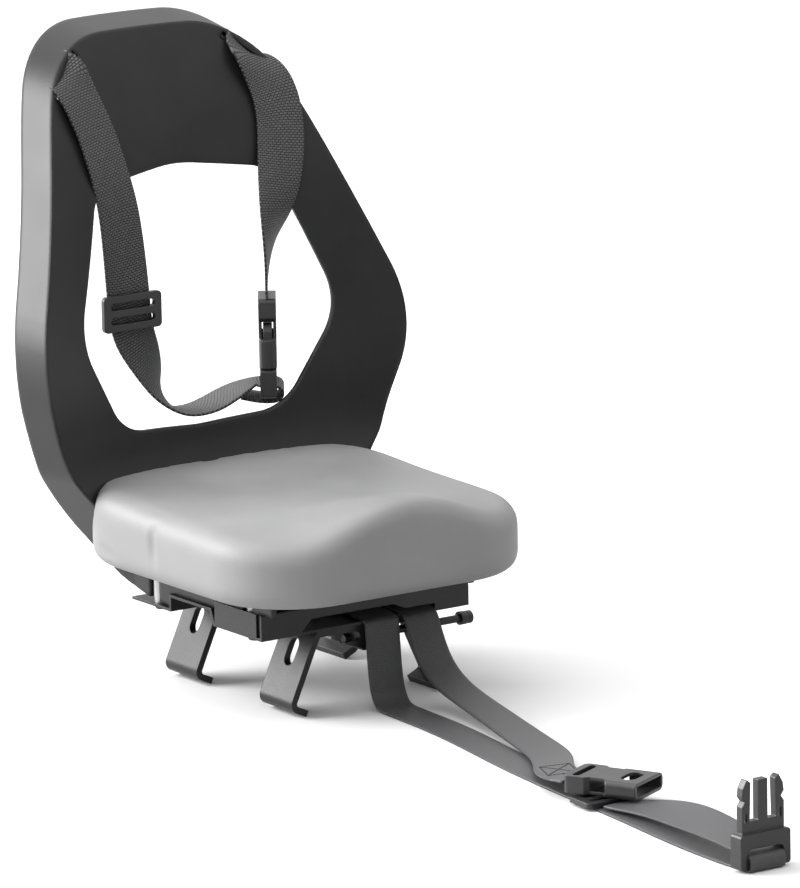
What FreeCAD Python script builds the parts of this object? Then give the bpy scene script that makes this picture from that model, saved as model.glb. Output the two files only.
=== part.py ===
import FreeCAD, Part
import math
import os
import re

import Sketcher
from FreeCAD import Placement, Rotation, Vector

# Rear child bike seat, in millimetres. +X is the child's left, the child faces -Y and +Z is up.
# The origin is on the ground, midway between the four carrier hooks that the seat stands on.

SIZES = {
    # Moulded back shell: its front face leans back as a parabola and is hollow in plan
    "shell_wall": 4.0,
    "rim_depth": 34.0,
    "rim_draft": 9.0,
    "rim_round": 2.5,
    "rim_fullness": 0.8,
    "back_y": 133.8,
    "back_z": 253.5,
    "back_lean": 0.0726,
    "back_curl": 0.001052,
    "back_hollow": 319.0,
    "bend_radius": 100.0,
    "pan_top": 96.0,
    "pan_front": 100.0,
    "pan_inset": 0.5,
    "pan_round": 20.0,
    "skirt_gap": 0.3,
    # Outline of the shell's front edge, from the crown down to the pan
    "crown_z": 486.0,
    "corner_x": 94.0,
    "corner_z": 477.5,
    "corner_round": 82.0,
    "hip_x": 172.0,
    "hip_z": 251.0,
    "hip_round": 112.0,
    "foot_x": 140.0,
    "foot_z": 163.0,
    "foot_round": 40.0,
    # Opening through the backrest
    "window_top": 380.0,
    "window_shoulder_x": 80.0,
    "window_shoulder_z": 369.0,
    "window_shoulder_round": 28.0,
    "window_hip_x": 119.0,
    "window_hip_z": 262.0,
    "window_hip_round": 55.0,
    "window_foot_x": 74.0,
    "window_foot_z": 184.0,
    "window_foot_round": 40.0,
    "window_bottom": 179.5,
    # Webbing slots in the shell's top corners and the bars that the webbing is sewn round
    "slot_x": 82.0,
    "slot_z": 453.0,
    "slot_length": 42.0,
    "slot_width": 7.0,
    "slot_turn": 43.0,
    "strap_bar_radius": 3.0,
    "strap_bar_length": 46.0,
    # Foam cushion
    "cushion_half_width": 131.0,
    "cushion_front": 150.0,
    "cushion_rear": 140.0,
    "cushion_middle": 150.0,
    "cushion_pommel": 12.0,
    "cushion_rear_rise": 8.0,
    "cushion_corner_fall": 11.0,
    "cushion_front_round": 70.0,
    "cushion_rear_round": 80.0,
    "cushion_edge_round": 17.0,
    "cushion_base_round": 12.0,
    "soft_gap": 0.4,
    # Pressed steel tray under the pan
    "tray_half_width": 94.0,
    "tray_front": 89.0,
    "tray_rear": 88.0,
    "tray_sheet": 2.0,
    "tray_wall": 19.5,
    "tray_relief": 5.0,
    "bead_front": 24.0,
    "bead_rear": 36.0,
    "bead_rise": 11.0,
    "bead_slope": 5.0,
    "wall_cut_left": 36.0,
    "wall_cut_right": 60.0,
    "wall_cut_rise": 11.0,
    "wall_cut_slope": 11.0,
    "wall_slit_end": 63.0,
    "wall_slit_rise": 6.2,
    # Carrier hooks: one bent strip each, sliding under the tray floor
    "hook_top": 64.0,
    "hook_gauge": 5.0,
    "hook_width": 43.0,
    "hook_y": 64.5,
    "hook_arm": 47.0,
    "hook_splay": 24.5,
    "hook_foot": 17.0,
    "hook_bend": 2.5,
    "hook_flange": 21.0,
    "right_hook_x": 4.0,
    "left_hook_x": 12.5,
    "hook_gap": 0.3,
    "access_width": 12.5,
    "access_length": 20.0,
    "access_z": 46.0,
    "gusset_sheet": 3.0,
    "gusset_length": 30.0,
    "gusset_short": 9.0,
    "gusset_slot_length": 17.0,
    "gusset_slot_width": 7.0,
    # Shoulder screws that hold the hooks to the tray and let them slide
    "guide_reach": 25.0,
    "guide_slot": 22.0,
    "guide_radius": 3.0,
    "guide_head_radius": 6.0,
    "guide_head": 3.5,
    "guide_play": 0.2,
    # Clamp bolts, their nuts and the bush under each head
    "bolt_radius": 3.0,
    "bolt_z": 48.0,
    "bolt_length": 112.4,
    "bolt_head_radius": 5.0,
    "bolt_head": 6.0,
    "bolt_socket": 5.0,
    "bush_radius": 5.2,
    "bush_length": 4.9,
    "nut_flats": 10.0,
    "nut_height": 5.0,
    "thread_play": 0.05,
    "bolt_play": 0.4,
    # Screws and spacers between the tray and the pan
    "fixing_inset": 9.0,
    "fixing_front": 67.0,
    "fixing_rear": 60.0,
    "spacer_radius": 6.0,
    "fixing_radius": 2.9,
    "fixing_play": 0.1,
    "fixing_head_radius": 5.5,
    "fixing_head": 3.5,
    # Chest webbing and its fittings
    "chest_webbing": 38.0,
    "webbing_thickness": 1.8,
    "webbing_gap": 4.0,
    "chest_strap_y": 149.0,
    "slider_x": 51.0,
    "slider_z": 272.0,
    "slider_height": 28.0,
    "slider_thickness": 4.0,
    "slider_frame": 7.0,
    "chest_buckle_x": 77.0,
    "chest_buckle_y": 152.0,
    "chest_buckle_z": 214.0,
    "chest_buckle_turn": 56.3,
    "chest_buckle_width": 46.0,
    "chest_socket_length": 54.0,
    # Safety strap that lies in front of the seat and its fittings
    "safety_webbing": 30.0,
    "fixed_strap_x": 45.0,
    "adjust_strap_x": 12.0,
    "safety_slider_x": -27.0,
    "safety_slider_y": -427.0,
    "safety_slider_turn": 5.0,
    "safety_buckle_width": 43.0,
    "safety_socket_length": 60.0,
    "safety_female_x": -6.0,
    "safety_female_y": -452.0,
    "safety_female_z": 14.5,
    "safety_female_turn": 26.0,
    "safety_male_x": -43.0,
    "safety_male_y": -632.0,
    "buckle_slot_play": 0.8,
}

doc = FreeCAD.newDocument("rear_child_seat")
sheet = doc.addObject("Spreadsheet::Sheet", "sizes")
for row, (name, number) in enumerate(SIZES.items(), 1):
    sheet.set("A%d" % row, name.replace("_", " "))
    sheet.set("B%d" % row, repr(number))
    sheet.setAlias("B%d" % row, name)
doc.recompute()

pieces = []


def size(name):
    return float(sheet.get(name))


def value(text):
    """Number that an expression in the sheet's names gives."""
    return float(sheet.evalExpression(text))


def bind(owner, setting, text):
    """Tie a property to an expression written in the sheet's names."""
    def point(match):
        word = match.group(0)
        return "sizes." + word if word in SIZES else word
    owner.setExpression(setting, re.sub(r"[a-z]\w*", point, text))


def new_body(label):
    body = doc.addObject("PartDesign::Body", label)
    body.Label = label
    pieces.append(body)
    return body


def new_feature(label, shape):
    feature = doc.addObject("Part::Feature", label)
    feature.Label = label
    feature.Shape = shape
    pieces.append(feature)
    return feature


def new_sketch(body, name, role, offset):
    sketch = body.newObject("Sketcher::SketchObject", name)
    plane = next(feature for feature in body.Origin.OriginFeatures if feature.Role == role)
    sketch.AttachmentSupport = [(plane, "")]
    sketch.MapMode = "FlatFace"
    bind(sketch, "AttachmentOffset.Base.z", offset)
    return sketch


def pin(sketch, element, point, across, upward):
    """Hold a sketch point at two expressions, measured from the sketch's origin."""
    for kind, text in (("DistanceX", across), ("DistanceY", upward)):
        index = sketch.addConstraint(Sketcher.Constraint(kind, -1, 1, element, point, value(text)))
        bind(sketch, "Constraints[%d]" % index, text)


def outline(body, name, role, offset, corners):
    """Closed sketch of straight sides whose corners are pairs of expressions."""
    sketch = new_sketch(body, name, role, offset)
    places = [Vector(value(across), value(upward), 0) for across, upward in corners]
    count = len(places)
    for index in range(count):
        sketch.addGeometry(Part.LineSegment(places[index], places[(index + 1) % count]))
    for index in range(count):
        sketch.addConstraint(Sketcher.Constraint("Coincident", index, 2, (index + 1) % count, 1))
    for index, (across, upward) in enumerate(corners):
        pin(sketch, index, 1, across, upward)
    return sketch


def circle(body, name, role, offset, centre, radius):
    sketch = new_sketch(body, name, role, offset)
    place = Vector(value(centre[0]), value(centre[1]), 0)
    sketch.addGeometry(Part.Circle(place, Vector(0, 0, 1), value(radius)))
    pin(sketch, 0, 3, *centre)
    index = sketch.addConstraint(Sketcher.Constraint("Radius", 0, value(radius)))
    bind(sketch, "Constraints[%d]" % index, radius)
    return sketch


def oblong(body, name, role, offset, centre, length, width, upright):
    """Sketch of a slot with round ends, its long side upright or across."""
    sketch = new_sketch(body, name, role, offset)
    reach = "((%s) - (%s)) / 2" % (length, width)
    ends = []
    for sign in ("+", "-"):
        shift = " %s %s" % (sign, reach)
        ends.append((centre[0], centre[1] + shift) if upright else (centre[0] + shift, centre[1]))
    radius = value(width) / 2
    start = 0 if upright else -math.pi / 2
    for index, (across, upward) in enumerate(ends):
        place = Vector(value(across), value(upward), 0)
        ring = Part.Circle(place, Vector(0, 0, 1), radius)
        turn = start + index * math.pi
        sketch.addGeometry(Part.ArcOfCircle(ring, turn, turn + math.pi))
    arcs = [sketch.Geometry[index] for index in range(2)]
    sketch.addGeometry(Part.LineSegment(arcs[0].EndPoint, arcs[1].StartPoint))
    sketch.addGeometry(Part.LineSegment(arcs[1].EndPoint, arcs[0].StartPoint))
    for first, last in ((0, 2), (1, 3)):
        sketch.addConstraint(Sketcher.Constraint("Tangent", first, 2, last, 1))
        sketch.addConstraint(Sketcher.Constraint("Tangent", last, 2, 1 - first, 1))
    for index, (across, upward) in enumerate(ends):
        pin(sketch, index, 3, across, upward)
    index = sketch.addConstraint(Sketcher.Constraint("Radius", 0, radius))
    bind(sketch, "Constraints[%d]" % index, "(%s) / 2" % width)
    return sketch


def pad(body, sketch, length, symmetric=True):
    feature = body.newObject("PartDesign::Pad", sketch.Name + "_pad")
    feature.Profile = sketch
    feature.SideType = "Symmetric" if symmetric else "One side"
    bind(feature, "Length", length)
    doc.recompute()
    return feature


def pocket(body, sketch, length):
    """Cut both ways from the sketch, and check that something was cut."""
    before = body.Shape.Volume
    feature = body.newObject("PartDesign::Pocket", sketch.Name + "_pocket")
    feature.Profile = sketch
    feature.SideType = "Symmetric"
    bind(feature, "Length", length)
    doc.recompute()
    if not body.Shape.Volume < before:
        raise RuntimeError("%s cuts nothing" % feature.Name)
    return feature


def revolve(body, sketch):
    feature = body.newObject("PartDesign::Revolution", sketch.Name + "_turn")
    feature.Profile = sketch
    feature.ReferenceAxis = (sketch, ["H_Axis"])
    feature.Angle = 360
    doc.recompute()
    return feature


def round_edges(body, name, choose, radius):
    """Fillet the edges of the body's tip that a test picks."""
    tip = body.Tip
    names = ["Edge%d" % (index + 1) for index, edge in enumerate(tip.Shape.Edges) if choose(edge)]
    if not names:
        raise RuntimeError("%s finds no edge" % name)
    fillet = body.newObject("PartDesign::Fillet", name)
    fillet.Base = (tip, names)
    bind(fillet, "Radius", radius)
    doc.recompute()
    return fillet


def unit(start, end):
    across, upward = end[0] - start[0], end[1] - start[1]
    length = math.hypot(across, upward)
    return across / length, upward / length


def directions(points, closed):
    """Unit direction of the run before and after each point of a flat path."""
    count = len(points)
    last = count if closed else count - 1
    runs = [unit(points[index], points[(index + 1) % count]) for index in range(last)]
    if closed:
        return [(runs[index - 1], runs[index]) for index in range(count)]
    return [(runs[max(index - 1, 0)], runs[min(index, count - 2)]) for index in range(count)]


def shifted(points, distance, closed=False):
    """The path moved sideways to its left, with its corners kept sharp."""
    moved = []
    for (across, upward), (before, after) in zip(points, directions(points, closed)):
        left = (-before[1] - after[1], before[0] + after[0])
        scale = distance / (1 + before[0] * after[0] + before[1] * after[1])
        moved.append((across + left[0] * scale, upward + left[1] * scale))
    return moved


def rounded(points, radii, closed, lift):
    """Edges of a flat path with tangent arcs at its corners, placed in space by lift."""
    edges = []
    last = None
    first = None
    for point, radius, (before, after) in zip(points, radii, directions(points, closed)):
        turn = math.atan2(before[0] * after[1] - before[1] * after[0],
                          before[0] * after[0] + before[1] * after[1])
        reach = radius * math.tan(abs(turn) / 2)
        start = (point[0] - before[0] * reach, point[1] - before[1] * reach)
        end = (point[0] + after[0] * reach, point[1] + after[1] * reach)
        if last:
            edges.append(Part.LineSegment(lift(*last), lift(*start)).toShape())
        if reach > 1e-6:
            inward = unit((before[0], before[1]), (after[0], after[1]))
            depth = radius / math.cos(turn / 2) - radius
            middle = (point[0] + inward[0] * depth, point[1] + inward[1] * depth)
            edges.append(Part.Arc(lift(*start), lift(*middle), lift(*end)).toShape())
        last = end
        first = first or start
    if closed:
        edges.append(Part.LineSegment(lift(*last), lift(*first)).toShape())
    return edges


def mirrored(half):
    """Closed corner list from its right half, given from the top down without points on the axis."""
    return half[::-1] + [(-across, upward) for across, upward in half]


def face_y(across, upward):
    """Front face of the backrest."""
    rise = upward - size("back_z")
    return (size("back_y") + size("back_lean") * rise + size("back_curl") * rise * rise
            - across * across / (2 * size("back_hollow")))


# The underside of the tray's floor, and where screws go through it
FLOOR = "hook_top + hook_gap"
FIXINGS = [(across, along) for along in ("-fixing_front", "fixing_rear")
           for across in ("fixing_inset - tray_half_width", "tray_half_width - fixing_inset")]
GUIDES = [(across, along) for along in ("-hook_y", "hook_y")
          for across in ("right_hook_x - guide_reach", "left_hook_x + guide_reach")]

# The side line of the shell: a parabola down to where it stands upright, a short straight run,
# a quarter bend and the pan
upright_z = size("back_z") - size("back_lean") / (2 * size("back_curl"))
upright_y = face_y(0, upright_z)
bend_radius = size("bend_radius")
bend_z = size("pan_top") + bend_radius
bend_y = upright_y - bend_radius
hollow_axis = size("back_y") - size("back_hollow")
top_z = size("crown_z") + 2 * size("rim_depth")
sweep_half = 60.0


def side_edges(offset):
    """Side line of the shell, moved back by offset, from above the crown to the front of the pan."""
    low, high = upright_z, top_z
    slope = size("back_lean") + 2 * size("back_curl") * (high - size("back_z"))
    meet = (face_y(0, low) - face_y(0, high)) / slope + high
    lean = Part.BezierCurve()
    lean.setPoles([Vector(0, face_y(0, high) + offset, high), Vector(0, upright_y + offset, meet),
                   Vector(0, upright_y + offset, low)])
    radius = bend_radius + offset
    corner = math.sqrt(0.5) * radius
    bend_top = Vector(0, bend_y + radius, bend_z)
    stand = Part.LineSegment(Vector(0, upright_y + offset, low), bend_top)
    bend_end = Vector(0, bend_y, bend_z - radius)
    bend = Part.Arc(bend_top, Vector(0, bend_y + corner, bend_z - corner), bend_end)
    pan = Part.LineSegment(bend_end, Vector(0, -size("pan_front"), bend_end.z))
    return [lean.toShape(), stand.toShape(), bend.toShape(), pan.toShape()]


def swept(edges):
    """Solid that a closed side profile makes as it turns about the upright axis of the hollow back."""
    face = Part.Face(Part.Wire(Part.__sortEdges__(edges)))
    centre = Vector(0, hollow_axis, 0)
    face.rotate(centre, Vector(0, 0, 1), -sweep_half)
    return face.revolve(centre, Vector(0, 0, 1), 2 * sweep_half)


def side_ring(front, back_points):
    """Side line closed by straight runs through the given points behind it or in front of it."""
    start = front[0].valueAt(front[0].FirstParameter)
    end = front[-1].valueAt(front[-1].LastParameter)
    places = [end] + [Vector(0, *point) for point in back_points] + [start]
    return front + [Part.LineSegment(a, b).toShape() for a, b in zip(places, places[1:])]


def shell_block():
    """The shell's full thickness: from its front face back to the rear edge of the rim."""
    depth = size("rim_depth")
    back = side_edges(depth)[:1]
    low = Vector(0, upright_y + depth, upright_z)
    floor = value(FLOOR + " + tray_sheet + skirt_gap")
    curve = Part.BezierCurve()
    full = size("rim_fullness")
    curve.setPoles([low, Vector(0, low.y, low.z - full * (low.z - floor)),
                    Vector(0, bend_y + full * (low.y - bend_y), floor), Vector(0, bend_y, floor)])
    front = side_edges(0)
    rear_top = back[0].valueAt(back[0].FirstParameter)
    front_top = front[0].valueAt(front[0].FirstParameter)
    pan_end = Vector(0, -size("pan_front"), floor)
    joins = [Part.LineSegment(front_top, rear_top).toShape(),
             Part.LineSegment(Vector(0, bend_y, floor), pan_end).toShape(),
             Part.LineSegment(pan_end, Vector(0, -size("pan_front"), size("pan_top"))).toShape()]
    return swept(front + back + [curve.toShape()] + joins)


def outline_at(depth_y, inset):
    """Closed outline of the shell in the plane of one Y, widened by the draft and drawn in by inset."""
    draft = math.tan(math.radians(size("rim_draft")))
    hip_y = face_y(size("hip_x"), size("hip_z"))
    base = -4 * size("rim_depth")
    pan_half = value("tray_half_width - tray_sheet - pan_inset")
    half = [(size("corner_x"), size("corner_z")), (size("hip_x"), size("hip_z")),
            (size("foot_x"), size("foot_z")), (pan_half, size("pan_top")), (pan_half, base)]
    corners = mirrored(half)
    depths = [face_y(*corner) - hip_y if corner[1] > size("hip_z") else 0.0 for corner in corners]
    drawn = []
    for corner, depth in zip(range(len(corners)), depths):
        drawn.append(shifted(corners, draft * depth, True)[corner])
    grown = shifted(drawn, inset - draft * (depth_y - hip_y), True)
    wide = draft * (depth_y - hip_y) - inset
    half_radii = [max(size("corner_round") + wide - draft * depths[len(half) - 1], size("rim_round")),
                  size("hip_round") + wide, size("foot_round") + wide,
                  max(size("pan_round") - wide, 0.0), 0.0]
    return grown, half_radii[::-1] + half_radii


def outline_prism(inset):
    """Block inside the shell's outline: straight in front of the hips, drafted wider behind them."""
    wires = []
    hip_y = face_y(size("hip_x"), size("hip_z"))
    for depth_y in (-size("pan_front") - size("rim_depth"), hip_y, size("crown_z")):
        corners, radii = outline_at(max(depth_y, hip_y), inset)
        edges = rounded(corners, radii, True, lambda across, upward: Vector(across, depth_y, upward))
        wires.append(Part.Wire(edges))
    return Part.makeLoft(wires, True, True)


def window_block():
    """Prism through the backrest opening."""
    half = [(size("window_shoulder_x"), size("window_shoulder_z")),
            (size("window_hip_x"), size("window_hip_z")),
            (size("window_foot_x"), size("window_foot_z"))]
    corners = mirrored(half)
    corners.insert(len(half), (0.0, size("window_top")))
    corners.append((0.0, size("window_bottom")))
    sides = [size("window_shoulder_round"), size("window_hip_round"), size("window_foot_round")]
    crown, sill = 3 * size("window_foot_round"), 3 * size("window_foot_round")
    radii = sides[::-1] + [crown] + sides + [sill]
    edges = rounded(corners, radii, True, lambda across, upward: Vector(across, 0, upward))
    return Part.Face(Part.Wire(edges)).extrude(Vector(0, size("crown_z"), 0))


def slot_block(side):
    """Webbing slot through the shell's face, along the rounded top corner."""
    length, width = size("slot_length"), size("slot_width")
    depth = 2 * size("rim_depth")
    block = Part.makeBox(length, depth, width, Vector(-length / 2, -depth / 2, -width / 2))
    place = Vector(side * size("slot_x"), face_y(size("slot_x"), size("slot_z")), size("slot_z"))
    block.Placement = Placement(place, Rotation(Vector(0, 1, 0), side * size("slot_turn")))
    return block


def notch_reach():
    """Half width of the notch that a spacer stands in."""
    return size("spacer_radius") + 2 * size("skirt_gap")


def skirt_cuts():
    """Room in the pan's side skirts for the tray's front wall and bead, and for the spacers."""
    far, gap = size("crown_z"), size("skirt_gap")
    wall_top = value(FLOOR + " + tray_wall") + gap
    bead_top = value(FLOOR + " + bead_rise + tray_sheet") + gap
    wall_back = 3 * size("tray_sheet") - size("tray_front")
    bead = [-size("bead_front") - 2 * size("tray_sheet"), size("bead_rear") + size("tray_sheet")]
    cuts = [Part.makeBox(2 * far, far, wall_top, Vector(-far, wall_back - far, 0)),
            Part.makeBox(2 * far, bead[1] - bead[0], bead_top, Vector(-far, bead[0], 0))]
    reach = notch_reach()
    for across_text, along_text in FIXINGS:
        across, along = value(across_text), value(along_text)
        start = Vector(across - reach if across > 0 else across - far, along - reach, 0)
        cuts.append(Part.makeBox(far + reach, 2 * reach, pan_underside(across, along, reach), start))
    return cuts


def make_back_shell():
    """Backrest, bend and seat pan: one hollow moulding, open behind, with skirts down to the tray."""
    wall = size("shell_wall")
    far = size("crown_z")
    solid = shell_block().common(outline_prism(0))
    space = swept(side_ring(side_edges(wall), [(-size("pan_front"), -far), (far, -far), (far, top_z)]))
    solid = solid.cut(space.common(outline_prism(wall)))
    solid = solid.cut([window_block(), slot_block(-1), slot_block(1)] + skirt_cuts())
    front = Part.makeBox(2 * far, far, 2 * far, Vector(-far, -size("pan_front") - far, -far))
    return new_feature("back_shell", solid.cut(front).Solids[0])


def cushion_top():
    """Everything above the cushion's dished top: a raised nose at the front, low front corners."""
    width, front, rear = size("cushion_half_width"), size("cushion_front"), size("cushion_rear")
    middle, nose = size("cushion_middle"), size("cushion_pommel")
    back, fall = size("cushion_rear_rise"), size("cushion_corner_fall")
    rows = [(-front, (nose, nose / 3, -fall)), (-front / 2, (nose * 0.7, nose / 3, -fall / 4)),
            (0.0, (0.0, 0.0, 3.0)), (rear / 2, (0.0, 3.0, 2.0)), (rear, (back, back, -fall))]
    grid = []
    for along, (centre, half, edge) in rows:
        heights = [(-width, edge), (-width / 2, half), (0.0, centre), (width / 2, half), (width, edge)]
        grid.append([Vector(across * 1.1, along * 1.1, middle + rise) for across, rise in heights])
    surface = Part.BSplineSurface()
    surface.interpolate(grid)
    return surface.toShape().extrude(Vector(0, 0, size("crown_z")))


def make_seat_cushion():
    """Foam cushion: it fills the space on the pan in front of the backrest, under a dished top."""
    gap = size("soft_gap")
    width, front, rear = size("cushion_half_width"), size("cushion_front"), size("cushion_rear")
    low = size("pan_top") + gap
    corners = [(-width, -front), (width, -front), (width, rear), (-width, rear)]
    near, behind = size("cushion_front_round"), size("cushion_rear_round")
    edges = rounded(corners, [near, near, behind, behind], True, lambda a, b: Vector(a, b, low))
    block = Part.Face(Part.Wire(edges)).extrude(Vector(0, 0, size("cushion_middle")))
    block = block.cut(cushion_top())
    rims = [edge for edge in block.Edges
            if edge.BoundBox.ZMin > low + gap and edge.BoundBox.ZLength < front / 3]
    block = block.makeFillet(size("cushion_edge_round"), rims)
    base = [edge for edge in block.Edges if edge.BoundBox.ZMax < low + gap]
    block = block.makeFillet(size("cushion_base_round"), base)
    far = size("crown_z")
    ring = side_ring(side_edges(-gap), [(-size("pan_front"), -far), (far, -far), (far, top_z)])
    behind_face = swept(ring)
    return new_feature("seat_cushion", block.cut(behind_face.common(outline_prism(-gap))).Solids[0])


def make_base_tray():
    """Pressed tray: a floor with a raised bead across it, low side walls and a cut-out front wall."""
    body = new_body("base_tray")
    low, high = FLOOR, FLOOR + " + tray_sheet"
    raised = FLOOR + " + bead_rise"
    profile = [("-tray_front", low), ("-bead_front", low), ("bead_slope - bead_front", raised),
               ("bead_rear - tray_sheet", raised), ("bead_rear - tray_sheet", low), ("tray_rear", low),
               ("tray_rear", high), ("bead_rear", high), ("bead_rear", raised + " + tray_sheet"),
               ("bead_slope - bead_front - tray_sheet", raised + " + tray_sheet"),
               ("-bead_front - tray_sheet", high), ("-tray_front", high)]
    pad(body, outline(body, "tray_floor", "YZ_Plane", "0", profile), "2 * tray_half_width")
    top = FLOOR + " + tray_wall"
    side = [("tray_relief - tray_front + tray_sheet", low), ("-bead_front - tray_sheet", low),
            ("-bead_front - tray_sheet", top), ("tray_relief - tray_front + tray_sheet", top)]
    for name, place in (("right_wall", "tray_sheet / 2 - tray_half_width"),
                        ("left_wall", "tray_half_width - tray_sheet / 2")):
        pad(body, outline(body, name, "YZ_Plane", place, side), "tray_sheet")
    notch = FLOOR + " + wall_cut_rise"
    slit = FLOOR + " + wall_slit_rise"
    front = [("-tray_half_width", low), ("-wall_cut_right", low), ("wall_cut_slope - wall_cut_right", notch),
             ("wall_cut_left - wall_cut_slope", notch), ("wall_cut_left", slit), ("wall_slit_end", slit),
             ("wall_slit_end", low), ("tray_half_width", low),
             ("tray_half_width", top), ("-tray_half_width", top)]
    pad(body, outline(body, "front_wall", "XZ_Plane", "tray_front - tray_sheet / 2", front), "tray_sheet")
    for number, (across, along) in enumerate(FIXINGS):
        hole = circle(body, "fixing_hole_%d" % number, "XY_Plane", FLOOR, (across, along),
                      "fixing_radius + fixing_play")
        pocket(body, hole, "4 * tray_sheet")
    for number, (across, along) in enumerate(GUIDES):
        hole = circle(body, "guide_hole_%d" % number, "XY_Plane", FLOOR, (across, along),
                      "guide_radius + thread_play")
        pocket(body, hole, "4 * tray_sheet")
    return body


def make_hook(label, side, end):
    """One bent strip: inner flange, arm, splayed leg and a foot that turns under the carrier tube."""
    body = new_body(label)
    start = "right_hook_x" if side < 0 else "left_hook_x"
    sign = "-" if side < 0 else "+"

    def out(text):
        return "%s %s (%s)" % (start, sign, text)

    leg = "((hook_top - hook_foot * sin(hook_splay)) / cos(hook_splay))"
    heel = ("hook_arm + %s * sin(hook_splay)" % leg, "hook_top - %s * cos(hook_splay)" % leg)
    toe = (heel[0] + " - hook_foot * cos(hook_splay)", heel[1] + " - hook_foot * sin(hook_splay)")
    toe_top = (toe[0] + " - hook_gauge * sin(hook_splay)", toe[1] + " + hook_gauge * cos(hook_splay)")
    crook = (heel[0] + " - hook_gauge * (cos(hook_splay) + sin(hook_splay))",
             heel[1] + " + hook_gauge * (cos(hook_splay) - sin(hook_splay))")
    under = ("hook_arm - hook_gauge * tan((90 - hook_splay) / 2)", "hook_top - hook_gauge")
    strip = [("0", "hook_top - hook_flange"), ("0", "hook_top"), ("hook_arm", "hook_top"), heel, toe,
             toe_top, crook, under, ("hook_gauge", "hook_top - hook_gauge"),
             ("hook_gauge", "hook_top - hook_flange")]
    middle = "hook_y" if end == "front" else "-hook_y"
    corners = [(out(across), upward) for across, upward in strip]
    pad(body, outline(body, label + "_strip", "XZ_Plane", middle, corners), "hook_width")

    def bends(picked):
        places = [(value(out(across)), value(upward)) for across, upward in picked]

        def choose(edge):
            centre = edge.BoundBox.Center
            along = edge.BoundBox.YLength > 0.9 * size("hook_width")
            return along and any(math.hypot(centre.x - a, centre.z - b) < 0.1 for a, b in places)
        return choose

    round_edges(body, label + "_outer_bends", bends([strip[1], strip[2], heel]), "hook_gauge + hook_bend")
    round_edges(body, label + "_inner_bends", bends([crook, under, strip[8]]), "hook_bend")
    gusset_edge = "(hook_width - gusset_sheet) / 2"
    gusset_y = middle + (" + " if side < 0 else " - ") + gusset_edge
    gusset = [("hook_gauge / 2", "hook_top - hook_gauge / 2"), ("gusset_length", "hook_top - hook_gauge / 2"),
              ("gusset_length", "hook_top - gusset_short"), ("hook_gauge / 2", "hook_top - hook_flange")]
    corners = [(out(across), upward) for across, upward in gusset]
    pad(body, outline(body, label + "_gusset", "XZ_Plane", gusset_y, corners), "gusset_sheet")
    slot_x = out("gusset_length - gusset_slot_length / 2 - hook_gauge")
    slot = oblong(body, label + "_gusset_slot", "XZ_Plane", gusset_y,
                  (slot_x, "hook_top - hook_gauge - gusset_slot_width / 2 - 0.5"),
                  "gusset_slot_length", "gusset_slot_width", False)
    pocket(body, slot, "2 * gusset_sheet")
    along = "-hook_y" if end == "front" else "hook_y"
    leg_middle = out("hook_arm + (hook_top - access_z) * tan(hook_splay)")
    access = oblong(body, label + "_access", "YZ_Plane", leg_middle, (along, "access_z"),
                    "access_length", "access_width", True)
    pocket(body, access, "8 * hook_gauge")
    bolt_hole = circle(body, label + "_bolt_hole", "YZ_Plane", out("hook_gauge / 2"), (along, "bolt_z"),
                       "bolt_radius + bolt_play")
    pocket(body, bolt_hole, "4 * hook_gauge")
    guide = oblong(body, label + "_guide_slot", "XY_Plane", "hook_top", (out("guide_reach - 2.5"), along),
                   "guide_slot", "2 * (guide_radius + guide_play)", False)
    pocket(body, guide, "4 * hook_gauge")
    return body


def make_clamp(end):
    """Long cap screw through both hooks of one pair, with its nut and the bush under its head."""
    sign = "-" if end == "front" else ""
    along = sign + "hook_y"
    tip = "right_hook_x - hook_gauge - nut_height"
    head = tip + " + bolt_length"
    socket_depth = "bolt_head / 2"

    def turned(label, profile):
        body = new_body(label)
        revolve(body, outline(body, label + "_profile", "XZ_Plane", "0", profile))
        bind(body, "Placement.Base.y", along)
        bind(body, "Placement.Base.z", "bolt_z")
        return body

    def hexagon(flats):
        corner = flats + " / 2 / cos(30)"
        return [("%s * cos(%d)" % (corner, turn), "%s * sin(%d)" % (corner, turn))
                for turn in range(30, 390, 60)]

    bolt = turned(end + "_clamp_bolt",
                  [(tip, "0"), (tip, "bolt_radius - 0.7"), (tip + " + 0.7", "bolt_radius"),
                   (head, "bolt_radius"), (head, "bolt_head_radius"),
                   (head + " + bolt_head - 0.6", "bolt_head_radius"),
                   (head + " + bolt_head", "bolt_head_radius - 0.6"), (head + " + bolt_head", "0")])
    socket = outline(bolt, end + "_bolt_socket", "YZ_Plane", head + " + bolt_head", hexagon("bolt_socket"))
    pocket(bolt, socket, "2 * " + socket_depth)
    turned(end + "_clamp_bush",
           [(head + " - bush_length", "bolt_radius + thread_play"),
            (head + " - bush_length", "bush_radius"),
            (head, "bush_radius"), (head, "bolt_radius + thread_play")])
    nut = new_body(end + "_clamp_nut")
    face = outline(nut, end + "_nut_hexagon", "YZ_Plane", tip + " + nut_height / 2", hexagon("nut_flats"))
    pad(nut, face, "nut_height")
    bore = circle(nut, end + "_nut_bore", "YZ_Plane", tip + " + nut_height / 2", ("0", "0"),
                  "bolt_radius + thread_play")
    pocket(nut, bore, "2 * nut_height")
    bind(nut, "Placement.Base.y", along)
    bind(nut, "Placement.Base.z", "bolt_z")


def pan_underside(across, along, radius):
    """Lowest point of the pan's underside over a round footprint."""
    reach = math.hypot(across, along - hollow_axis) - radius - (bend_y - hollow_axis)
    drop = bend_radius + size("shell_wall")
    return bend_z - math.sqrt(drop * drop - max(reach, 0.0) ** 2)


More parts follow.
